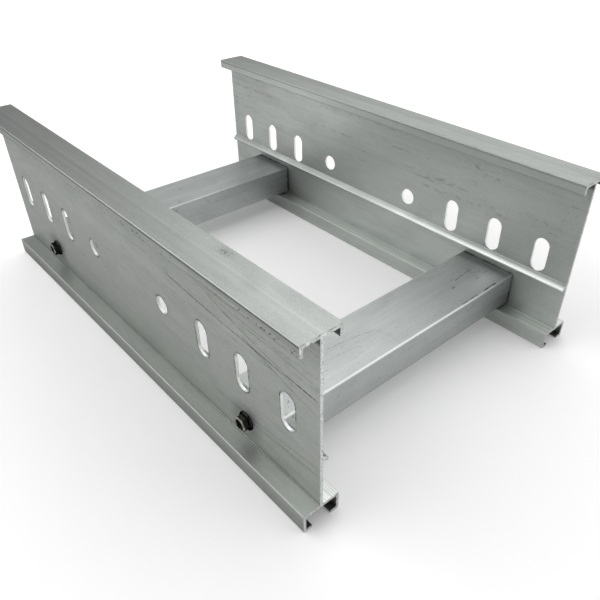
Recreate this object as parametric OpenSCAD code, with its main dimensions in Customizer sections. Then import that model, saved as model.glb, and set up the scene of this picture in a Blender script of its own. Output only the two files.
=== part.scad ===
// Cable ladder section: two extruded side rails joined by two hollow rungs.
// X runs along the ladder and Y across it, and Z = 0 is the level that the rails lie on.
// The origin is midway between the rails, at half the length.

/* [Ladder] */
// Length of both side rails, mm
rail_length = 304; // [260:1:600]
// Distance between the middles of the two rail webs, mm
rail_spacing = 178.6; // [120:0.1:600]
// Distance from each end of the rails to the middle of the nearest rung, mm
rung_inset = 49.5; // [42:0.5:70]

/* [Side rail] */
// Overall height of a side rail, mm
rail_height = 100; // [100:1:160]
// Thickness of the upright web, mm
web_t = 1.5; // [1.2:0.1:3]
// Width of the top flange, mm
flange_w = 19.6; // [16:0.2:40]
// Thickness of the top flange, mm
flange_t = 1.7; // [1.2:0.1:3]
// Height of the two lips that turn down from the top flange, counted from its top, mm
lip_drop = 5.5; // [4.5:0.5:12]
// Thickness of those lips, mm
lip_t = 1.5; // [1.2:0.1:2.5]

/* [Foot channel] */
// Width of the channel under the rail, mm
foot_w = 19.6; // [18:0.2:40]
// Height of the channel under the rail, mm
foot_h = 10; // [8:0.5:16]
// Wall thickness of the channel, mm
foot_t = 1.4; // [1.2:0.1:2]
// Width of the downward mouth between the two foot lips, mm
mouth_w = 10.2; // [7:0.2:12]

/* [Ledge rib] */
// How far the rib stands out from the inner face of the web, mm
rib_reach = 3; // [2:0.1:5]
// Height of the rib where it joins the web, mm
rib_root = 4; // [3:0.5:6]
// Diameter of the rounded nose of the rib, mm
rib_nose = 1.9; // [1.2:0.1:2.2]
// Free height between the top of the rungs and the underside of the rib, mm
rib_gap = 4.2; // [1:0.1:8]

/* [Rungs] */
// Width of a rung, measured along the ladder, mm
rung_w = 36; // [24:1:50]
// Height of a rung, mm
rung_h = 20; // [16:0.5:26]
// Wall thickness of a rung, mm
rung_t = 1.6; // [1.2:0.1:2.5]
// Radius of the four long outer corners of a rung, mm
rung_r = 1; // [0.8:0.1:4]
// Free height between the foot channel and the underside of the rungs, mm
rung_lift = 1.4; // [0.5:0.1:5]

/* [Fixing holes] */
// Distance from the end of the rail to the middle of the first slot, mm
slot_inset = 19; // [12:0.5:24]
// Distance between the middles of neighbouring slots, mm
slot_pitch = 30.5; // [22:0.5:34]
// Number of slots at each end of a rail
slot_count = 3; // [1:1:3]
// Width of a slot, mm
slot_w = 9; // [6:0.5:12]
// Height of a slot from end to end, mm
slot_h = 20; // [16:0.5:24]
// Distance from the last slot to the round hole, mm
hole_step = 35.3; // [24:0.1:40]
// Diameter of the round hole, mm
hole_d = 10; // [6:0.5:12]

/* [Rung screws] */
// Diameter of the screw shank, mm
shank_d = 4.8; // [4:0.1:6]
// Length of the screw under its head, mm
shank_length = 22; // [14:1:32]
// Width of the hexagon across its flats, mm
hex_af = 7; // [6:0.1:8]
// Height of the hexagon above the washer face, mm
hex_h = 3.2; // [2.5:0.1:5]
// Diameter of the washer face under the hexagon, mm
washer_d = 9.8; // [9.4:0.1:14]
// Thickness of the washer face, mm
washer_t = 0.9; // [0.8:0.1:2]

/* [Hidden] */

$fn = 64;
aluminium = [0.72, 0.73, 0.71];
rung_aluminium = [0.78, 0.79, 0.77];
screw_steel = [0.42, 0.41, 0.39];

// Inner corner radius where two walls of the extrusion meet
root_r = 0.4;
// Outer corner radius of the extrusion
edge_r = 0.5;
// How far a shape sinks into the wall that it joins
sink = 0.3;
// Extra length of a cutting tool on each side
over = 1;
// Clearance all round the shank in the screw port
port_clear = 0.1;
// Clearance all round the shank in the web
web_clear = 0.6;
// Wall thickness of the screw port in a rung
port_wall = 1.5;
// Height of the two mouths that open the screw port to its sides
port_mouth = 2.5;
// Depth and radius of the hollow in the end of the hexagon
dish_depth = hex_h * 0.45;
dish_r = hex_af * 0.4;
// Length of the cone at the tip of the shank
tip_length = shank_d * 0.8;

// Levels of the rungs, the ledge rib and the row of holes
rung_base = foot_h + rung_lift;
rung_mid = rung_base + rung_h / 2;
rib_base = rung_base + rung_h + rib_gap;
rib_top = rib_base + rib_root;
hole_level = max(rail_height / 2, rib_top + slot_h / 2 + 0.4);

rung_x = rail_length / 2 - rung_inset;
rung_length = rail_spacing - web_t;
round_hole_inset = slot_inset + (slot_count - 1) * slot_pitch + hole_step;

// A rectangle given by its low and high corners
module bar(low, high) {
    translate(low) square(high - low);
}

// The material between a square corner and its rounding.
// It fills an inner corner or, taken away, rounds an outer one. The turn counts quarter turns.
module corner(at, r, turn) {
    translate(at) rotate(90 * turn) difference() {
        translate([-sink, -sink]) square(r + sink);
        translate([r, r]) circle(r);
    }
}

// A rectangle with rounded corners, centred on the origin
module rounded_box(size, r) {
    square([size.x - 2 * r, size.y], center = true);
    square([size.x, size.y - 2 * r], center = true);
    for (sx = [-1, 1], sy = [-1, 1]) {
        translate([sx * (size.x / 2 - r), sy * (size.y / 2 - r)]) circle(r);
    }
}

// Right half of the top flange with its down-turned lip
module flange_half() {
    edge = flange_w / 2;
    difference() {
        union() {
            bar([0, rail_height - flange_t], [edge, rail_height]);
            bar([edge - lip_t, rail_height - lip_drop], [edge, rail_height]);
            corner([web_t / 2, rail_height - flange_t], root_r, 3);
            corner([edge - lip_t, rail_height - flange_t], root_r, 2);
        }
        corner([edge, rail_height], edge_r, 2);
        corner([edge, rail_height - lip_drop], edge_r, 1);
    }
}

// Right half of the channel under the rail, open downward between its lips
module foot_half() {
    edge = foot_w / 2;
    difference() {
        union() {
            bar([0, foot_h - foot_t], [edge, foot_h]);
            bar([edge - foot_t, 0], [edge, foot_h]);
            bar([mouth_w / 2, 0], [edge, foot_t]);
            corner([web_t / 2, foot_h], root_r, 0);
            corner([edge - foot_t, foot_h - foot_t], edge_r, 2);
            corner([edge - foot_t, foot_t], edge_r, 1);
        }
        corner([edge, foot_h], edge_r, 2);
        corner([edge, 0], edge_r, 1);
        corner([mouth_w / 2, foot_t], edge_r, 3);
    }
}

// Ledge rib on the inner face of the web: level underside, round nose and a slope that meets it smoothly
module rib() {
    face = web_t / 2;
    nose_r = rib_nose / 2;
    centre = [face + rib_reach - nose_r, rib_base + nose_r];
    run = [centre.x - face, rib_top - centre.y];
    lean = atan(run.y / run.x) - asin(nose_r / norm(run));
    touch = centre + nose_r * [sin(lean), cos(lean)];
    polygon([
        [face - sink, rib_base],
        [centre.x, rib_base],
        centre,
        touch,
        [face, rib_top],
        [face - sink, rib_top]
    ]);
    translate(centre) circle(nose_r);
}

// Cross-section of a side rail, with the inner side of the ladder toward +x
module rail_section() {
    bar([-web_t / 2, foot_h - sink], [web_t / 2, rail_height - sink]);
    for (side = [0, 1]) {
        mirror([side, 0]) {
            flange_half();
            foot_half();
        }
    }
    rib();
}

// Cutter for an upright slot through the web, centred on the web
module slot_cut() {
    reach = web_t + 2 * over;
    half = (slot_h - slot_w) / 2;
    rotate([90, 0, 0]) linear_extrude(reach, center = true) {
        square([slot_w, 2 * half], center = true);
        for (up = [-1, 1]) translate([0, up * half]) circle(d = slot_w);
    }
}

// Cutter for a round hole through the web, centred on the web
module hole_cut(d) {
    rotate([90, 0, 0]) cylinder(d = d, h = web_t + 2 * over, center = true);
}

// Everything that is cut through the web at one end of a rail
module end_holes() {
    for (i = [0 : slot_count - 1]) {
        translate([slot_inset + i * slot_pitch, 0, hole_level]) slot_cut();
    }
    translate([round_hole_inset, 0, hole_level]) hole_cut(hole_d);
    translate([rung_inset, 0, rung_mid]) hole_cut(shank_d + 2 * web_clear);
}

// The right side rail; the left one is its mirror image
module side_rail() {
    color(aluminium) difference() {
        rotate([90, 0, 90]) linear_extrude(rail_length, center = true) rail_section();
        for (end = [0, 1]) {
            mirror([end, 0, 0]) translate([-rail_length / 2, 0, 0]) end_holes();
        }
    }
}

// Cross-section of a rung: a hollow box with a screw port held by two ribs
module rung_section() {
    inner = [rung_w - 2 * rung_t, rung_h - 2 * rung_t];
    port_r = shank_d / 2 + port_clear;
    difference() {
        rounded_box([rung_w, rung_h], rung_r);
        rounded_box(inner, max(rung_r - rung_t, 0.4));
    }
    difference() {
        union() {
            circle(port_r + port_wall);
            square([port_wall, rung_h - rung_t], center = true);
        }
        circle(port_r);
        square([2 * (port_r + port_wall + sink), port_mouth], center = true);
    }
}

module rung() {
    color(rung_aluminium) rotate([90, 0, 0]) {
        linear_extrude(rung_length, center = true) rung_section();
    }
}

// A screw that points along +z, with its washer face seated at z = 0
module screw() {
    color(screw_steel) {
        cylinder(d = shank_d, h = shank_length - tip_length);
        translate([0, 0, shank_length - tip_length]) {
            cylinder(d1 = shank_d, d2 = shank_d * 0.2, h = tip_length);
        }
        mirror([0, 0, 1]) {
            cylinder(d = washer_d, h = washer_t * 0.5);
            translate([0, 0, washer_t * 0.5]) {
                cylinder(d1 = washer_d, d2 = washer_d * 0.92, h = washer_t * 0.5);
            }
            difference() {
                intersection() {
                    cylinder(d = hex_af / cos(30), h = washer_t + hex_h, $fn = 6);
                    chamfered_blank();
                }
                translate([0, 0, washer_t + hex_h - dish_depth]) {
                    cylinder(r1 = dish_r * 0.8, r2 = dish_r, h = dish_depth);
                    translate([0, 0, dish_depth]) cylinder(r = dish_r, h = over);
                }
            }
        }
    }
}

// The round blank that bevels the six outer corners of the hexagon
module chamfered_blank() {
    bevel = hex_af * 0.08;
    tall = washer_t + hex_h;
    cylinder(d = hex_af * 1.2, h = tall - bevel);
    translate([0, 0, tall - bevel]) cylinder(d1 = hex_af * 1.2, d2 = hex_af * 0.98, h = bevel);
}

// A screw in its place: along is -1 at the near end, and side is 1 on the left
module placed_screw(along, side) {
    seat = rail_spacing / 2 + web_t / 2;
    translate([along * rung_x, side * seat, rung_mid]) {
        rotate([side * 90, 0, 0]) screw();
    }
}

module left_side_rail() {
    translate([0, rail_spacing / 2, 0]) mirror([0, 1, 0]) side_rail();
}

module right_side_rail() {
    translate([0, -rail_spacing / 2, 0]) side_rail();
}

module near_rung() {
    translate([-rung_x, 0, rung_mid]) rung();
}

module far_rung() {
    translate([rung_x, 0, rung_mid]) rung();
}

module near_left_screw() {
    placed_screw(-1, 1);
}

module near_right_screw() {
    placed_screw(-1, -1);
}

module far_left_screw() {
    placed_screw(1, 1);
}

module far_right_screw() {
    placed_screw(1, -1);
}

left_side_rail();
right_side_rail();
near_rung();
far_rung();
near_left_screw();
near_right_screw();
far_left_screw();
far_right_screw();
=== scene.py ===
"""Looks of the cable ladder section: mill-finish aluminium rails and rungs with steel screws."""
import math

import bpy
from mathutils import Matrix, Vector

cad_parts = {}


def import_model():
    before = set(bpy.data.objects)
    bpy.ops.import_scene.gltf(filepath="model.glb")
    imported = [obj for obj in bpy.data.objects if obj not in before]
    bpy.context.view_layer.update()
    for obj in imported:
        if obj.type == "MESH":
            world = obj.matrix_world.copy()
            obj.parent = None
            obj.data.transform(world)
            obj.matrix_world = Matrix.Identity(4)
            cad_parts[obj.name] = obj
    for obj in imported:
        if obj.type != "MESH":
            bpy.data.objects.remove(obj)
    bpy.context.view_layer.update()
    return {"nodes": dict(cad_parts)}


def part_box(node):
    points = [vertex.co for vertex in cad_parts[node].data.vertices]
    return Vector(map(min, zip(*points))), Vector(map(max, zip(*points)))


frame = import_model()

MM = 0.001
RAILS = ("left_side_rail", "right_side_rail")
RUNGS = ("near_rung", "far_rung")
SCREWS = ("near_left_screw", "near_right_screw", "far_left_screw", "far_right_screw")

# Levels and distances in millimetres, read from the frame
rail_low, rail_high = (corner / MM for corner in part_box("left_side_rail"))
rung_low, rung_high = (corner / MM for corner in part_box("near_rung"))
screw_low, screw_high = (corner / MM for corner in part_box("near_left_screw"))
half_length = rail_high.x
rail_top = rail_high.z
web_y = (rail_low.y + rail_high.y) / 2
rung_x = -(rung_low.x + rung_high.x) / 2
rung_mid = (rung_low.z + rung_high.z) / 2
rung_top = rung_high.z
rung_end = rung_high.y
head_d = screw_high.x - screw_low.x
head_top = screw_high.y
half_web = web_y - rung_end
half_flange = rail_high.y - web_y

# Details of the rail's section that its box doesn't give
FOOT_TOP = 10
FOOT_WALL = 1.4
LIP_DROP = 5.5
RIB_LOW = rung_top + 4.2
RIB_HIGH = rung_top + 8.2
RIB_MID = (RIB_LOW + RIB_HIGH) / 2
# Each punched hole's distance from the end of the rail, its radius and half its straight part
HOLES = ((19, 4.5, 5.5), (49.5, 4.5, 5.5), (80, 4.5, 5.5), (115.3, 5, 0))

# Fine scratches on the outer face of the left web, each from one point (along, up) to another,
# with the rise of its bow, its width and its strength
WEB_SCRATCHES = (
    ((-152, 68.5), (-45, 73.5), -1.0, 0.55, 1.0),
    ((-152, 68), (-80, 80.5), -2.2, 0.4, 0.8),
    ((-152, 60.5), (-104, 71.8), -0.6, 0.4, 0.8),
    ((-152, 79.5), (-70, 82), -1.6, 0.35, 0.6),
    ((-152, 75), (-108, 77.5), 0.4, 0.3, 0.5),
    ((-152, 65), (-118, 69), 0.3, 0.3, 0.5),
    ((-152, 32), (-76, 24), -0.8, 0.35, 0.7),
    ((-152, 27.5), (-100, 22), 0.5, 0.4, 0.8),
    ((-60, 84), (40, 87), 0.8, 0.4, 0.5),
    ((-30, 76), (60, 79), -0.6, 0.35, 0.4),
)
# Scratches and dents on the top of the near rung, each from one point (along, across) to another
RUNG_SCRATCHES = (
    ((-119.6, -42), (-119.6, -57), 0.2, 0.7, 1.3),
    ((-119.4, -61), (-119.3, -73), 0.2, 0.9, 1.5),
    ((-102.3, -58), (-100.9, -74), 0.3, 0.9, 0.9),
    ((-106.3, -50), (-105.9, -53), 0, 1.0, 0.9),
    ((-98.5, 40), (-103.5, 9), 0.8, 0.45, 0.7),
    ((-103.5, 9), (-118.4, 7.3), 1.1, 0.4, 0.45),
    ((-105, 42), (-107.4, 24), 0.4, 0.4, 0.5),
    ((-90, -10), (-92, -24), 0.3, 0.5, 0.35),
)

# Middle of a gritty smudge on the left top flange, along and across
TOP_SMUDGE = (-88, 83)

METALLIC = 0.85
SPECULAR_TINT = (0.3, 0.3, 0.3, 1)
RAIL_GREY = 0.455
RUNG_GREY = 0.51
RAIL_ROUGH = 0.43
RUNG_ROUGH = 0.48
# Depth of the relief in the metal and on the screws, in millimetres
METAL_RELIEF = 0.02
SCREW_RELIEF = 0.01

# Tints are multiplied by the grey, and the other colours stand as they are
RAIL_TINT = (0.982, 1.03, 0.99, 1)
RAIL_DULL_TINT = (0.984, 1.026, 0.964, 1)
RUNG_TINT = (0.972, 1.022, 1.012)
CUT_TINT = (1.0, 1.03, 1.0)
# Dark colours painted on the rails' long edges as painted shade, to keep their highlights down
LOW_EDGE_PAINTED_SHADE = (0.2, 0.207, 0.195, 1)
HIGH_EDGE_PAINTED_SHADE = (0.14, 0.145, 0.135, 1)
# Pale colour of the rungs' long edges, partly wear and partly a painted highlight
RUNG_EDGE_WEAR_AND_HIGHLIGHT = (0.93, 0.95, 0.94, 1)
PUNCHED_METAL = (0.85, 0.87, 0.85, 1)
SCREW_STEEL = (0.055, 0.054, 0.047)
WASHER_BLACK = (0.02, 0.02, 0.018, 1)
# Rim of the screw head: wear and a painted highlight; hollow in the head: painted shade
RIM_WEAR_AND_HIGHLIGHT = (0.4, 0.39, 0.36, 1)
HOLLOW_PAINTED_SHADE = (0.01, 0.01, 0.009, 1)

# A face turned towards an axis counts from the first of these shares of its normal, and fully
# from the second
FLAT = (0.9, 0.97)
# Distance over which one side of the web gives way to the other
SIDE_FADE = 0.2


class Nodes:
    """A material's node tree, with short calls for the nodes used here."""

    def __init__(self, name, metallic=1.0):
        self.material = bpy.data.materials.new(name)
        self.material.use_nodes = True
        self.tree = self.material.node_tree
        self.shader = self.tree.nodes["Principled BSDF"]
        self.shader.inputs["Metallic"].default_value = metallic
        self.shader.inputs["Specular Tint"].default_value = SPECULAR_TINT
        metres = self.tree.nodes.new("ShaderNodeTexCoord").outputs["Object"]
        self.place = self.scaled(metres, 1 / MM)
        self.x, self.y, self.z = self.split(self.place)
        self.side = self.math("ABSOLUTE", self.y)
        self.along = self.math("ABSOLUTE", self.x)
        normal = self.tree.nodes.new("ShaderNodeNewGeometry").outputs["True Normal"]
        self.up = self.split(normal)[2]
        facing = self.tree.nodes.new("ShaderNodeVectorMath")
        facing.operation = "ABSOLUTE"
        self.fill(facing.inputs[0], normal)
        self.face_x, self.face_y, self.face_z = self.split(facing.outputs[0])

    def fill(self, socket, value):
        if isinstance(value, bpy.types.NodeSocket):
            self.tree.links.new(value, socket)
        else:
            socket.default_value = value

    def scaled(self, vector, scale):
        node = self.tree.nodes.new("ShaderNodeVectorMath")
        node.operation = "SCALE"
        self.fill(node.inputs[0], vector)
        self.fill(node.inputs["Scale"], scale)
        return node.outputs[0]

    def split(self, vector):
        node = self.tree.nodes.new("ShaderNodeSeparateXYZ")
        self.fill(node.inputs[0], vector)
        return node.outputs

    def math(self, operation, a, b=0.0):
        node = self.tree.nodes.new("ShaderNodeMath")
        node.operation = operation
        self.fill(node.inputs[0], a)
        self.fill(node.inputs[1], b)
        return node.outputs[0]

    def total(self, first, *rest):
        for value in rest:
            first = self.math("ADD", first, value)
        return first

    def product(self, first, *rest):
        for value in rest:
            first = self.math("MULTIPLY", first, value)
        return first

    def without(self, mask):
        return self.math("SUBTRACT", 1.0, mask)

    def ramp(self, value, start, end, low=0.0, high=1.0):
        """Smooth step from low to high while the value goes from start to end."""
        node = self.tree.nodes.new("ShaderNodeMapRange")
        node.interpolation_type = "SMOOTHSTEP"
        for socket, number in zip(node.inputs, (value, start, end, low, high)):
            self.fill(socket, number)
        return node.outputs[0]

    def near(self, value, middle, reach, fade):
        """1 where a value lies within a reach of the middle, fading to 0 outside it."""
        distance = self.math("ABSOLUTE", self.math("SUBTRACT", value, middle))
        return self.ramp(distance, reach + fade, reach)

    def mapped(self, size, turn, shift):
        """The place measured in a box of the given size, turned by degrees and shifted in millimetres."""
        node = self.tree.nodes.new("ShaderNodeMapping")
        node.vector_type = "TEXTURE"
        self.fill(node.inputs["Vector"], self.place)
        node.inputs["Rotation"].default_value = [math.radians(angle) for angle in turn]
        node.inputs["Scale"].default_value = size
        node.inputs["Location"].default_value = shift
        return node.outputs[0]

    def noise(self, size, turn=(0, 0, 0), seed=0, detail=2.0, roughness=0.5, distortion=0.0):
        """Noise with a grain of the given size in millimetres."""
        node = self.tree.nodes.new("ShaderNodeTexNoise")
        self.fill(node.inputs["Vector"], self.mapped(size, turn, (31 * seed, 47 * seed, -29 * seed)))
        node.inputs["Scale"].default_value = 1.0
        node.inputs["Detail"].default_value = detail
        node.inputs["Roughness"].default_value = roughness
        node.inputs["Distortion"].default_value = distortion
        return node.outputs["Fac"]

    def stroke(self, start, end, bow, width, flat, breaks):
        """A thin scratch from start to end in an upright plane along X, or in a flat one."""
        run = end[0] - start[0]
        rise = end[1] - start[1]
        angle = math.degrees(math.atan2(rise, run))
        length = math.hypot(run, rise)
        if flat:
            t, off, _ = self.split(self.mapped((length, 1, 1), (0, 0, angle), (*start, 0)))
        else:
            t, _, off = self.split(self.mapped((length, 1, 1), (0, -angle, 0), (start[0], 0, start[1])))
        bend = self.product(t, self.without(t), 4 * bow)
        distance = self.math("ABSOLUTE", self.math("SUBTRACT", off, bend))
        ends = self.product(self.ramp(t, -0.01, 0.05), self.ramp(t, 1.01, 0.95))
        return self.product(self.ramp(distance, width, width * 0.25), ends, breaks)

    def strokes(self, scratches, flat, faintest):
        """All scratches of a list, which keep only a faintest share where they break off."""
        breaks = self.ramp(self.noise((2.5, 2.5, 2.5), seed=21, detail=3), 0.4, 0.55, faintest, 1)
        lines = [
            self.product(self.stroke(start, end, bow, width, flat, breaks), strength)
            for start, end, bow, width, strength in scratches
        ]
        return self.total(*lines)

    def mix(self, factor, a, b):
        node = self.tree.nodes.new("ShaderNodeMix")
        node.data_type = "RGBA"
        self.fill(node.inputs["Factor"], factor)
        self.fill(node.inputs[6], a)
        self.fill(node.inputs[7], b)
        return node.outputs[2]

    def finish(self, colour, roughness, height, depth):
        """Connects the shader and returns the material. The depth of the relief is in millimetres."""
        bump = self.tree.nodes.new("ShaderNodeBump")
        bump.inputs["Distance"].default_value = depth * MM
        self.fill(bump.inputs["Height"], height)
        self.fill(self.shader.inputs["Base Color"], colour)
        self.fill(self.shader.inputs["Roughness"], roughness)
        self.fill(self.shader.inputs["Normal"], bump.outputs[0])
        return self.material


def aluminium(nodes, turn, rough, streaks):
    """Shade, roughness and relief of a mill finish, with streaks and die lines along the extrusion."""
    lengthwise = (0, 0, turn)
    grain = nodes.noise((22, 0.35, 0.35), lengthwise, 1, 2, 0.6)
    bands = nodes.noise((600, 2.6, 2.6), lengthwise, 2, 2, 0.5)
    lines = nodes.noise((300, 0.8, 0.8), lengthwise, 3, 1)
    line_patches = nodes.noise((90, 9, 9), lengthwise, 4)
    die_lines = nodes.product(nodes.ramp(lines, 0.66, 0.73), nodes.ramp(line_patches, 0.42, 0.6))
    speckle = nodes.noise((0.7, 0.6, 0.6), lengthwise, 5, 3, 0.7)
    clouds = nodes.noise((36, 14, 14), lengthwise, 6, 3, 0.55, 0.6)
    pits = nodes.product(
        nodes.ramp(nodes.noise((1.3, 0.8, 0.8), lengthwise, 8, 1), 0.72, 0.77),
        nodes.ramp(nodes.noise((26, 26, 26), (0, 0, 0), 9), 0.52, 0.66),
    )
    shade = nodes.total(
        1.0,
        nodes.product(nodes.ramp(grain, 0.3, 0.7, -0.075, 0.075), streaks),
        nodes.ramp(bands, 0.3, 0.7, -0.025, 0.025),
        nodes.ramp(speckle, 0.3, 0.7, -0.08, 0.08),
        nodes.ramp(clouds, 0.35, 0.7, 0.03, -0.05),
        nodes.product(die_lines, -0.17),
        nodes.product(pits, -0.5),
    )
    height = nodes.total(
        nodes.product(grain, 0.35),
        nodes.product(bands, 0.4),
        nodes.product(speckle, 0.6),
    )
    roughness = nodes.total(
        nodes.ramp(clouds, 0.3, 0.7, rough - 0.03, rough + 0.04),
        nodes.ramp(speckle, 0.3, 0.7, -0.02, 0.02),
    )
    return shade, roughness, height


def from_hole(nodes):
    """Distance from the outline of the nearest punched hole, less than 0 inside one."""
    nearest = 100.0
    up = nodes.math("ABSOLUTE", nodes.math("SUBTRACT", nodes.z, rail_top / 2))
    for from_end, radius, straight in HOLES:
        dx = nodes.math("SUBTRACT", nodes.along, half_length - from_end)
        dz = nodes.math("MAXIMUM", nodes.math("SUBTRACT", up, straight), 0)
        square = nodes.total(nodes.product(dx, dx), nodes.product(dz, dz))
        nearest = nodes.math("MINIMUM", nearest, nodes.math("SUBTRACT", nodes.math("SQRT", square), radius))
    return nearest


def from_screw(nodes):
    """Distance from the axis of the nearest screw."""
    along = nodes.math("SUBTRACT", nodes.along, rung_x)
    up = nodes.math("SUBTRACT", nodes.z, rung_mid)
    return nodes.math("SQRT", nodes.total(nodes.product(along, along), nodes.product(up, up)))


class RailFaces:
    """Masks of the rail's faces, each 1 on its own face and 0 elsewhere."""

    def __init__(self, nodes):
        # Distance from the middle of the web, more than 0 on the rail's outer side
        self.across = nodes.math("SUBTRACT", nodes.side, web_y)
        self.off_web = nodes.math("ABSOLUTE", self.across)
        self.outward = nodes.ramp(self.across, 0, SIDE_FADE)
        self.inward = nodes.ramp(self.across, 0, -SIDE_FADE)
        upright = nodes.ramp(nodes.face_y, *FLAT)
        self.outer = nodes.product(upright, self.outward)
        self.inner = nodes.product(upright, self.inward)
        self.on_web = nodes.ramp(self.off_web, half_web + 0.6, half_web + 0.3)
        self.left = nodes.ramp(nodes.y, 0, 1)
        level = nodes.ramp(nodes.face_z, *FLAT)
        self.top = nodes.product(level, nodes.ramp(nodes.z, rail_top - 0.5, rail_top - 0.2))
        self.foot_top = nodes.product(level, nodes.near(nodes.z, FOOT_TOP, 0.2, 0.2))


def rail_smudges(nodes, faces):
    """Smudges under the flange, fainter on the outer faces and towards the far end."""
    dabs = nodes.noise((6, 2.4, 2.4), seed=7, detail=2, roughness=0.6)
    rows = nodes.noise((60, 3.2, 3.2), seed=14, detail=2)
    return nodes.product(
        nodes.ramp(dabs, 0.48, 0.66),
        nodes.ramp(rows, 0.5, 0.63),
        nodes.near(nodes.z, 80, 14, 10),
        nodes.ramp(nodes.x, -60, 80, 1, 0.4),
        nodes.total(faces.inner, nodes.product(faces.outer, 0.4)),
        faces.on_web,
    )


def rail_painted_light_and_seam(nodes, faces):
    """Painted light and shade from face to face and along the rail, besides a paler inner half and a seam
    line along the top.
    """
    inner_half = nodes.product(faces.top, nodes.ramp(faces.across, -0.4, -1.2))
    seam = nodes.product(faces.top, nodes.near(faces.across, -0.6, 0.15, 0.35))
    # Painted dark reflection low on the inner web, between the rungs
    low_painted_reflection = nodes.product(
        faces.inner,
        faces.on_web,
        nodes.ramp(nodes.z, FOOT_TOP + 12, FOOT_TOP + 2),
        nodes.ramp(nodes.along, rung_x, rung_x - 30),
    )
    return nodes.total(
        # Painted shade towards the far end, inner faces painted lighter and outer faces darker, and the
        # inner faces and the top painted darker towards the far end
        nodes.ramp(nodes.x, 0, half_length, 0, -0.06),
        nodes.product(faces.inner, 0.07),
        nodes.product(faces.inner, nodes.ramp(nodes.x, -20, half_length, 0, -0.26)),
        nodes.product(faces.outer, -0.08),
        nodes.product(faces.top, nodes.ramp(nodes.x, -110, half_length, 0, -0.16)),
        nodes.product(inner_half, 0.04),
        nodes.product(seam, 0.1),
        nodes.product(low_painted_reflection, -0.2),
    )


def rib_painted_highlight(nodes, faces):
    """The rib's slope with painted light: painted shade beside the web, a painted highlight towards its
    nose that is strongest at the near end, and painted shade towards the far end.
    """
    off_web = nodes.ramp(faces.off_web, half_web + 0.05, half_web + 0.3)
    slope = nodes.product(nodes.near(nodes.z, RIB_MID, 2.2, 0.4), off_web)
    nose_painted_highlight = nodes.ramp(nodes.z, RIB_HIGH - 0.6, RIB_LOW + 1.6, -0.3, 0.62)
    # Painted highlight towards the nose, and painted shade on the slope towards the far end
    return nodes.total(
        nodes.product(slope, nose_painted_highlight, nodes.ramp(nodes.x, -110, 20, 1.2, 0.2)),
        nodes.product(slope, nodes.ramp(nodes.x, -60, 80, 0, -0.25)),
    )


def foot_lines_and_painted_light(nodes, faces):
    """The foot: lined on top inside, with the inner top painted pale as a painted reflection, a painted
    highlight on the outer top towards the near end, and painted shade low on the outer leg.
    """
    lines = nodes.noise((160, 1.1, 1.1), seed=22, detail=2)
    inside = nodes.product(faces.foot_top, faces.inward)
    near_end_painted_highlight = nodes.product(
        faces.foot_top,
        faces.outward,
        nodes.ramp(nodes.x, -half_length * 0.68, -half_length),
    )
    low_painted_shade = nodes.product(faces.outer, nodes.ramp(nodes.z, FOOT_TOP, FOOT_TOP * 0.2))
    # Painted reflection on the inner top, painted highlight on the outer top at the near end, painted shade
    # low on the outer leg
    return nodes.total(
        nodes.product(inside, 0.7),
        nodes.product(inside, nodes.ramp(lines, 0.45, 0.62, 0, -0.3)),
        nodes.product(near_end_painted_highlight, 0.35),
        nodes.product(low_painted_shade, -0.19),
    )


def rail_scratches(nodes, faces):
    """Scratches on the left rail's outer face, and fine lines and pits along the outer lips."""
    scratches = nodes.strokes(WEB_SCRATCHES, False, 0.5)
    lip_lines = nodes.product(
        nodes.ramp(nodes.noise((110, 0.7, 0.7), seed=23, detail=2), 0.5, 0.62),
        nodes.ramp(nodes.z, rail_top - 16, rail_top - 6),
        faces.outer,
    )
    lip_pits = nodes.product(
        nodes.ramp(nodes.noise((1.8, 1.2, 1.2), seed=15, detail=1), 0.63, 0.67),
        nodes.near(nodes.z, rail_top - LIP_DROP + 1.2, 1, 0.8),
        faces.outer,
        nodes.ramp(nodes.x, half_length, -half_length, 0.3, 1),
    )
    return nodes.total(
        nodes.product(scratches, faces.outer, faces.on_web, faces.left, -0.5),
        nodes.product(lip_lines, -0.16),
        nodes.product(lip_pits, -0.65),
    )


def top_smudge(nodes, faces):
    """A gritty smudge on the left top flange."""
    grains = nodes.noise((1.1, 0.9, 0.9), seed=26, detail=2, roughness=0.6)
    return nodes.product(
        faces.top,
        faces.left,
        nodes.near(nodes.x, TOP_SMUDGE[0], 1, 6),
        nodes.near(nodes.y, TOP_SMUDGE[1], 0.5, 3),
        nodes.ramp(grains, 0.46, 0.56),
    )


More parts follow.
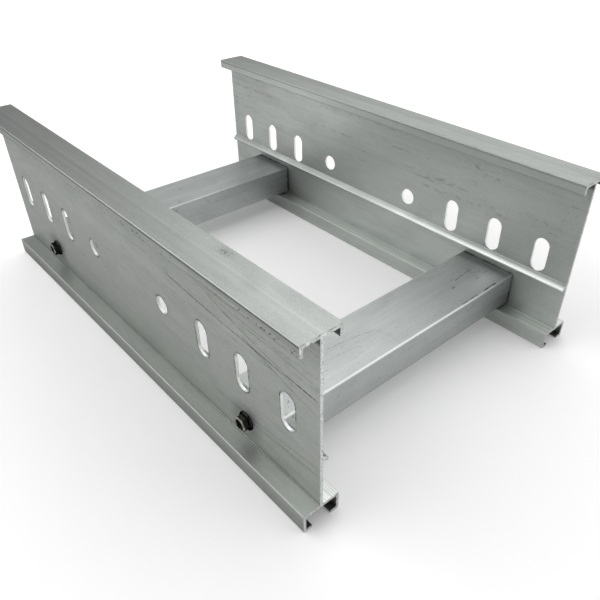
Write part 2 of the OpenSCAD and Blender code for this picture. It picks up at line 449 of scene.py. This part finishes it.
def rail_dirt_and_painted_shade(nodes, faces):
    """A dark line along the flange's edges, painted shade in the web's root, dark burrs round the holes,
    painted shadow round the screws, and a smudge on the top.
    """
    # A darker line along the flange's edges
    flange_edge_line = nodes.product(
        nodes.near(nodes.z, rail_top - 1, 0.25, 0.5),
        nodes.ramp(faces.off_web, half_flange - 0.4, half_flange - 0.2),
    )
    # Painted shade in the crease between the web and the foot
    root_painted_shade = nodes.product(
        nodes.near(nodes.z, FOOT_TOP + 0.2, 0.3, 0.4),
        nodes.near(faces.off_web, half_web + 0.2, 0.3, 0.4),
        nodes.ramp(faces.across, -0.2, 0.2, 0.3, 1),
    )
    hole_burr = nodes.product(
        nodes.near(from_hole(nodes), 0.25, 0.3, 0.45),
        nodes.ramp(nodes.noise((4, 4, 4), seed=24, detail=2), 0.42, 0.6, 0.15, 1),
        faces.outer,
        faces.on_web,
    )
    # Painted shadow round the screw heads on the outer face
    screw_painted_shadow = nodes.product(
        faces.outer,
        faces.on_web,
        nodes.ramp(from_screw(nodes), head_d * 1.5, head_d * 0.45),
    )
    return nodes.total(
        nodes.product(flange_edge_line, -0.28),
        nodes.product(root_painted_shade, -0.42),
        nodes.product(hole_burr, -0.55),
        nodes.product(screw_painted_shadow, -0.25),
        nodes.product(top_smudge(nodes, faces), -0.45),
    )


def recess_painted_shade(nodes, faces):
    """1 inside the foot channel and behind the lips, the recesses that get painted shade."""
    foot_ceiling = FOOT_TOP - FOOT_WALL
    foot_side = half_flange - FOOT_WALL
    in_channel = nodes.product(
        nodes.ramp(nodes.z, foot_ceiling + 0.1, foot_ceiling - 0.1),
        nodes.ramp(faces.off_web, foot_side + 0.1, foot_side - 0.1),
    )
    under_flange = nodes.product(
        nodes.ramp(nodes.z, rail_top - LIP_DROP - 1, rail_top - LIP_DROP + 2),
        nodes.ramp(faces.off_web, half_flange - 1.2, half_flange - 1.6),
        nodes.ramp(nodes.z, rail_top - 0.8, rail_top - 1.2),
    )
    return nodes.math("MAXIMUM", in_channel, under_flange)


def long_edges_painted_dark(nodes, faces, colour):
    """The colour with the section's long rounded edges painted dark, as painted shade that keeps their
    highlights from shining out.
    """
    diagonal = nodes.ramp(nodes.math("MINIMUM", nodes.face_y, nodes.face_z), 0.15, 0.35)
    off_rib = nodes.without(nodes.near(nodes.z, RIB_MID, 3, 1))
    edges = nodes.product(diagonal, off_rib, nodes.ramp(faces.off_web, half_web + 1, half_web + 2))
    low = nodes.product(
        edges,
        nodes.ramp(faces.across, -1, 1, 0, 0.35),
        nodes.ramp(nodes.z, FOOT_TOP * 2, FOOT_TOP * 1.5),
    )
    high = nodes.product(
        edges,
        nodes.ramp(faces.across, -1, 1, 0.3, 0.12),
        nodes.ramp(nodes.z, rail_top - 20, rail_top - 15),
    )
    return nodes.mix(high, nodes.mix(low, colour, LOW_EDGE_PAINTED_SHADE), HIGH_EDGE_PAINTED_SHADE)


def punched_walls(nodes, faces):
    """1 on the walls of the punched holes."""
    return nodes.product(
        nodes.ramp(faces.off_web, half_web - 0.03, half_web - 0.08),
        nodes.ramp(nodes.face_y, 0.3, 0.1),
        nodes.near(nodes.z, rail_top / 2, rail_top / 3.2, 1),
        nodes.ramp(nodes.along, half_length - 0.6, half_length - 1),
    )


def cut_ends(nodes, faces, colour):
    """The colour with saw-cut ends, gritty in the cut and with a dark burr along the outline."""
    cut = nodes.product(
        nodes.ramp(nodes.face_x, 0.9, 0.95),
        nodes.ramp(nodes.along, half_length - 0.3, half_length - 0.1),
    )
    saw_marks = nodes.ramp(nodes.noise((1, 4, 0.25), (35, 0, 0), 10, 2, 0.6), 0.3, 0.7, 0.6, 0.82)
    grit = nodes.ramp(nodes.noise((1, 1.1, 2.2), seed=11, detail=3, roughness=0.7), 0.56, 0.66)
    outline = nodes.total(
        nodes.ramp(nodes.z, rail_top - 0.45, rail_top - 0.25),
        nodes.ramp(faces.off_web, half_web - 0.3, half_web - 0.1, 0, 0.5),
    )
    burr = nodes.product(outline, nodes.ramp(nodes.noise((1, 2.5, 2.5), seed=12), 0.4, 0.6))
    shade = nodes.total(saw_marks, nodes.product(grit, -0.42), nodes.product(burr, -0.3))
    return nodes.mix(cut, colour, nodes.scaled(CUT_TINT, nodes.math("MAXIMUM", shade, 0.05)))


def rail_material():
    """Worn aluminium of the side rails, with painted light and shade in its colour. A mark darkens by a
    factor below 0 and lightens above.
    """
    nodes = Nodes("rail_aluminium_with_painted_light", METALLIC)
    faces = RailFaces(nodes)
    streaks = nodes.ramp(faces.outer, 0, 1, 0.4, 1)
    shade, roughness, height = aluminium(nodes, 0, RAIL_ROUGH, streaks)
    smudges = rail_smudges(nodes, faces)
    dull_outside = nodes.product(faces.outer, nodes.ramp(nodes.z, 74, 92))
    shade = nodes.total(
        shade,
        nodes.product(smudges, -0.3),
        nodes.product(dull_outside, -0.12),
        rail_painted_light_and_seam(nodes, faces),
        rib_painted_highlight(nodes, faces),
        foot_lines_and_painted_light(nodes, faces),
        rail_scratches(nodes, faces),
        rail_dirt_and_painted_shade(nodes, faces),
    )
    # The colour in the foot channel and behind the lips is brought down to 0.3 as painted shade
    shade = nodes.product(shade, nodes.ramp(recess_painted_shade(nodes, faces), 0, 1, 1, 0.3))
    dullness = nodes.math("MAXIMUM", nodes.product(faces.outer, 0.7), nodes.product(smudges, 0.6))
    tint = nodes.mix(dullness, RAIL_TINT, RAIL_DULL_TINT)
    colour = nodes.scaled(nodes.scaled(tint, RAIL_GREY), shade)
    # Long edges painted dark as painted shade
    colour = long_edges_painted_dark(nodes, faces, colour)
    colour = nodes.mix(punched_walls(nodes, faces), colour, PUNCHED_METAL)
    colour = cut_ends(nodes, faces, colour)
    roughness = nodes.total(
        roughness,
        nodes.product(smudges, 0.1),
        nodes.product(dull_outside, 0.05),
    )
    return nodes.finish(colour, roughness, height, METAL_RELIEF)


def rung_smudges(nodes):
    """Drifts of smudges drawn out across the ladder."""
    dabs = nodes.noise((2.4, 5, 2.4), seed=7, detail=3, roughness=0.6)
    drifts = nodes.noise((14, 30, 14), seed=16, detail=2)
    return nodes.product(nodes.ramp(dabs, 0.6, 0.74), nodes.ramp(drifts, 0.45, 0.6))


def rung_wear(nodes):
    """Scratches on the near rung's top, and specks on both rungs, darker near the left rail."""
    on_top = nodes.ramp(nodes.up, *FLAT)
    near_rung = nodes.ramp(nodes.x, 0, -1)
    specks = nodes.product(
        nodes.ramp(nodes.noise((0.9, 1.1, 0.9), seed=17, detail=1), 0.68, 0.73),
        nodes.ramp(nodes.noise((22, 22, 22), seed=18), 0.5, 0.62),
    )
    return nodes.total(
        nodes.product(nodes.strokes(RUNG_SCRATCHES, True, 0.1), on_top, near_rung, -0.42),
        nodes.product(specks, nodes.ramp(nodes.y, 20, 50, -0.4, -0.8)),
    )


def rung_painted_shade_and_joint_dirt(nodes):
    """Painted shade along the rung, lighter towards the left rail and darker towards the right and most at
    the right end, and painted shade near both webs; with dirt where it meets the webs.
    """
    # Painted shade near both webs
    ends = nodes.ramp(nodes.side, rung_end - 9, rung_end)
    seat = nodes.product(
        nodes.ramp(nodes.side, rung_end - 2.4, rung_end - 0.3),
        nodes.ramp(nodes.noise((5, 2, 5), seed=25, detail=3), 0.35, 0.6, 0.4, 1),
    )
    return nodes.total(
        nodes.product(ends, -0.12),
        nodes.product(seat, -0.5),
        # Painted light and shade along the rung, darkest at the right end
        nodes.ramp(nodes.y, -rung_end, rung_end, -0.1, 0.1),
        nodes.ramp(nodes.y, -rung_end, -rung_end + 30, -0.18, 0),
    )


def rung_edges_wear_and_highlight(nodes):
    """How far the long edges are rubbed bright, as wear and as a painted highlight: less near the right
    rail and on the far rung.
    """
    diagonal = nodes.ramp(nodes.math("MINIMUM", nodes.face_x, nodes.face_z), 0.1, 0.3)
    far_shift = nodes.ramp(nodes.x, -1, 1, 0, rung_end)
    along = nodes.math("SUBTRACT", nodes.y, far_shift)
    return nodes.product(diagonal, nodes.ramp(along, -rung_end, -rung_end * 0.4, 0.2, 0.85))


def rung_material():
    """Worn aluminium of the rungs, with painted light and shade in its colour."""
    nodes = Nodes("rung_aluminium_with_painted_light", METALLIC)
    shade, roughness, height = aluminium(nodes, 90, RUNG_ROUGH, 0.3)
    smudges = rung_smudges(nodes)
    shade = nodes.total(shade, nodes.product(smudges, -0.26), rung_wear(nodes), rung_painted_shade_and_joint_dirt(nodes))
    colour = nodes.scaled(nodes.scaled(RUNG_TINT, RUNG_GREY), shade)
    colour = nodes.mix(rung_edges_wear_and_highlight(nodes), colour, RUNG_EDGE_WEAR_AND_HIGHLIGHT)
    roughness = nodes.total(roughness, nodes.product(smudges, 0.08))
    return nodes.finish(colour, roughness, height, METAL_RELIEF)


def screw_material():
    """Dark plated steel, with the rim of the head lighter as wear and as a painted highlight, and the
    hollow in it painted black as painted shade.
    """
    nodes = Nodes("screw_steel_with_painted_light")
    radius = from_screw(nodes)
    tarnish = nodes.noise((1.6, 1.6, 1.6), seed=19, detail=3, roughness=0.6)
    fine = nodes.noise((0.3, 0.3, 0.3), seed=20, detail=2, roughness=0.6)
    below = nodes.math("SUBTRACT", head_top, nodes.side)
    washer = nodes.product(nodes.ramp(below, 2.9, 3.1), nodes.ramp(radius, head_d * 0.38, head_d * 0.4))
    hollow = nodes.product(nodes.ramp(radius, head_d * 0.292, head_d * 0.28), nodes.ramp(below, 0.05, 0.3))
    rim = nodes.product(nodes.ramp(below, 0.6, 0.45), nodes.ramp(radius, head_d * 0.275, head_d * 0.29))
    shade = nodes.ramp(tarnish, 0.3, 0.7, 1.4, 0.4)
    colour = nodes.scaled(SCREW_STEEL, shade)
    colour = nodes.mix(nodes.product(washer, 0.8), colour, WASHER_BLACK)
    # Wear and a painted highlight on the rim, painted shade in the hollow
    colour = nodes.mix(nodes.product(rim, 0.9), colour, RIM_WEAR_AND_HIGHLIGHT)
    colour = nodes.mix(nodes.product(hollow, 0.9), colour, HOLLOW_PAINTED_SHADE)
    roughness = nodes.ramp(fine, 0.3, 0.7, 0.16, 0.3)
    return nodes.finish(colour, roughness, fine, SCREW_RELIEF)


def paint(names, material):
    """Gives every slot of the named CAD nodes a material."""
    for name in names:
        for slot in frame["nodes"][name].material_slots:
            slot.material = material


paint(RAILS, rail_material())
paint(RUNGS, rung_material())
paint(SCREWS, screw_material())


def background_rays(tree):
    """1 for rays from the camera and for reflected and refracted rays, and 0 for the rest."""
    path = tree.nodes.new("ShaderNodeLightPath")
    total = path.outputs["Is Camera Ray"]
    for name in ("Is Glossy Ray", "Is Transmission Ray"):
        node = tree.nodes.new("ShaderNodeMath")
        node.operation = "MAXIMUM"
        tree.links.new(total, node.inputs[0])
        tree.links.new(path.outputs[name], node.inputs[1])
        total = node.outputs[0]
    return total


# The floor's width each way from the middle and the level of its top, in metres
FLOOR_SIZE = 6.0
FLOOR_LEVEL = -0.2 * MM
FLOOR_WHITE = 0.92
# Glow seen by the camera and in reflections, beside the object and from FLOOR_FADE metres outwards
FLOOR_LIFT = 0.15
FLOOR_FAR_LIFT = 0.58
FLOOR_FADE = 1.5


def floor_lift(tree):
    """Strength of the floor's glow, which rises with the distance from the object."""
    distance = tree.nodes.new("ShaderNodeVectorMath")
    distance.operation = "LENGTH"
    tree.links.new(tree.nodes.new("ShaderNodeTexCoord").outputs["Object"], distance.inputs[0])
    reach = tree.nodes.new("ShaderNodeMapRange")
    tree.links.new(distance.outputs["Value"], reach.inputs["Value"])
    reach.inputs["From Min"].default_value = half_length * MM
    reach.inputs["From Max"].default_value = FLOOR_FADE
    reach.inputs["To Min"].default_value = FLOOR_LIFT
    reach.inputs["To Max"].default_value = FLOOR_FAR_LIFT
    lift = tree.nodes.new("ShaderNodeMath")
    lift.operation = "MULTIPLY"
    tree.links.new(background_rays(tree), lift.inputs[0])
    tree.links.new(reach.outputs["Result"], lift.inputs[1])
    return lift.outputs[0]


def floor_material():
    """Matt white, and clear from below, so that the underside of the object can be seen."""
    material = bpy.data.materials.new("studio_floor_white")
    material.use_nodes = True
    tree = material.node_tree
    shader = tree.nodes["Principled BSDF"]
    shader.inputs["Base Color"].default_value = (FLOOR_WHITE, FLOOR_WHITE, FLOOR_WHITE, 1)
    shader.inputs["Roughness"].default_value = 1.0
    shader.inputs["Specular IOR Level"].default_value = 0.0
    shader.inputs["Emission Color"].default_value = (1, 1, 1, 1)
    tree.links.new(floor_lift(tree), shader.inputs["Emission Strength"])
    below = tree.nodes.new("ShaderNodeNewGeometry").outputs["Backfacing"]
    sides = tree.nodes.new("ShaderNodeMixShader")
    tree.links.new(below, sides.inputs[0])
    tree.links.new(shader.outputs[0], sides.inputs[1])
    tree.links.new(tree.nodes.new("ShaderNodeBsdfTransparent").outputs[0], sides.inputs[2])
    tree.links.new(sides.outputs[0], tree.nodes["Material Output"].inputs["Surface"])
    return material


def floor():
    """A wide white floor that keeps a soft shadow of the object."""
    mesh = bpy.data.meshes.new("studio_floor")
    signs = ((-1, -1), (1, -1), (1, 1), (-1, 1))
    corners = [(x * FLOOR_SIZE, y * FLOOR_SIZE, 0) for x, y in signs]
    mesh.from_pydata(corners, [], [(0, 1, 2, 3)])
    mesh.materials.append(floor_material())
    obj = bpy.data.objects.new("studio_floor", mesh)
    obj.location.z = FLOOR_LEVEL
    bpy.context.scene.collection.objects.link(obj)


# Each lamp's direction from the object, its distance, width and height in metres, and its radiance
LAMPS = {
    "key_softbox": ((0.35, -0.6, 0.7), 1.3, 1.4, 1.4, 1.15),
    "fill_softbox": ((0.5, 0.62, 0.6), 1.2, 1.5, 1.1, 2.0),
    "back_softbox": ((-0.55, -0.55, 0.65), 1.3, 1.0, 1.0, 1.2),
    "top_softbox": ((0, 0, 1), 1.2, 0.8, 0.8, 0.9),
}


def softbox(name, direction, distance, width, height, radiance):
    """A soft lamp at a distance from the object's middle, in a direction from it."""
    middle = Vector((0, 0, rail_top / 2)) * MM
    data = bpy.data.lights.new(name, "AREA")
    data.shape = "RECTANGLE"
    data.size = width
    data.size_y = height
    data.energy = radiance * math.pi * width * height
    obj = bpy.data.objects.new(name, data)
    toward = Vector(direction).normalized()
    obj.location = middle + toward * distance
    obj.rotation_euler = toward.to_track_quat("Z", "Y").to_euler()
    obj.visible_camera = False
    bpy.context.scene.collection.objects.link(obj)


WORLD_LEVEL = 0.28
HORIZON_LEVEL = 0.8
# Height of a direction's end, on a sphere of radius 1, over which the horizon's band fades
HORIZON_BAND = (0.02, 0.45)


def world():
    """An even grey light, with a paler band behind the floor's edge as background."""
    scene_world = bpy.data.worlds.new("studio")
    scene_world.use_nodes = True
    tree = scene_world.node_tree
    direction = tree.nodes.new("ShaderNodeSeparateXYZ")
    tree.links.new(tree.nodes.new("ShaderNodeTexCoord").outputs["Generated"], direction.inputs[0])
    height = tree.nodes.new("ShaderNodeMath")
    height.operation = "ABSOLUTE"
    tree.links.new(direction.outputs[2], height.inputs[0])
    band = tree.nodes.new("ShaderNodeMapRange")
    band.interpolation_type = "SMOOTHSTEP"
    for socket, number in zip(band.inputs[1:5], (*HORIZON_BAND, HORIZON_LEVEL, WORLD_LEVEL)):
        socket.default_value = number
    tree.links.new(height.outputs[0], band.inputs[0])
    shown = tree.nodes.new("ShaderNodeMix")
    tree.links.new(background_rays(tree), shown.inputs[0])
    shown.inputs[2].default_value = WORLD_LEVEL
    tree.links.new(band.outputs[0], shown.inputs[3])
    tree.links.new(shown.outputs[0], tree.nodes["Background"].inputs["Strength"])
    tree.nodes["Background"].inputs["Color"].default_value = (1, 1, 1, 1)
    bpy.context.scene.world = scene_world


CAMERA_PLACE = (-0.2677, 0.1941, 0.224)
CAMERA_FORWARD = (0.5994, -0.5359, -0.5946)
CAMERA_LENS = 36.76
CAMERA_SHIFT = (-0.0317, 0.0212)


def camera():
    """A close view of the near left corner from above."""
    data = bpy.data.cameras.new("camera")
    data.lens = CAMERA_LENS
    data.shift_x, data.shift_y = CAMERA_SHIFT
    data.clip_start = 0.01
    obj = bpy.data.objects.new("camera", data)
    obj.location = CAMERA_PLACE
    obj.rotation_euler = (-Vector(CAMERA_FORWARD)).to_track_quat("Z", "Y").to_euler()
    bpy.context.scene.collection.objects.link(obj)
    bpy.context.scene.camera = obj


floor()
for lamp_name, lamp in LAMPS.items():
    softbox(lamp_name, *lamp)
world()
camera()
bpy.context.scene.view_settings.view_transform = "Standard"
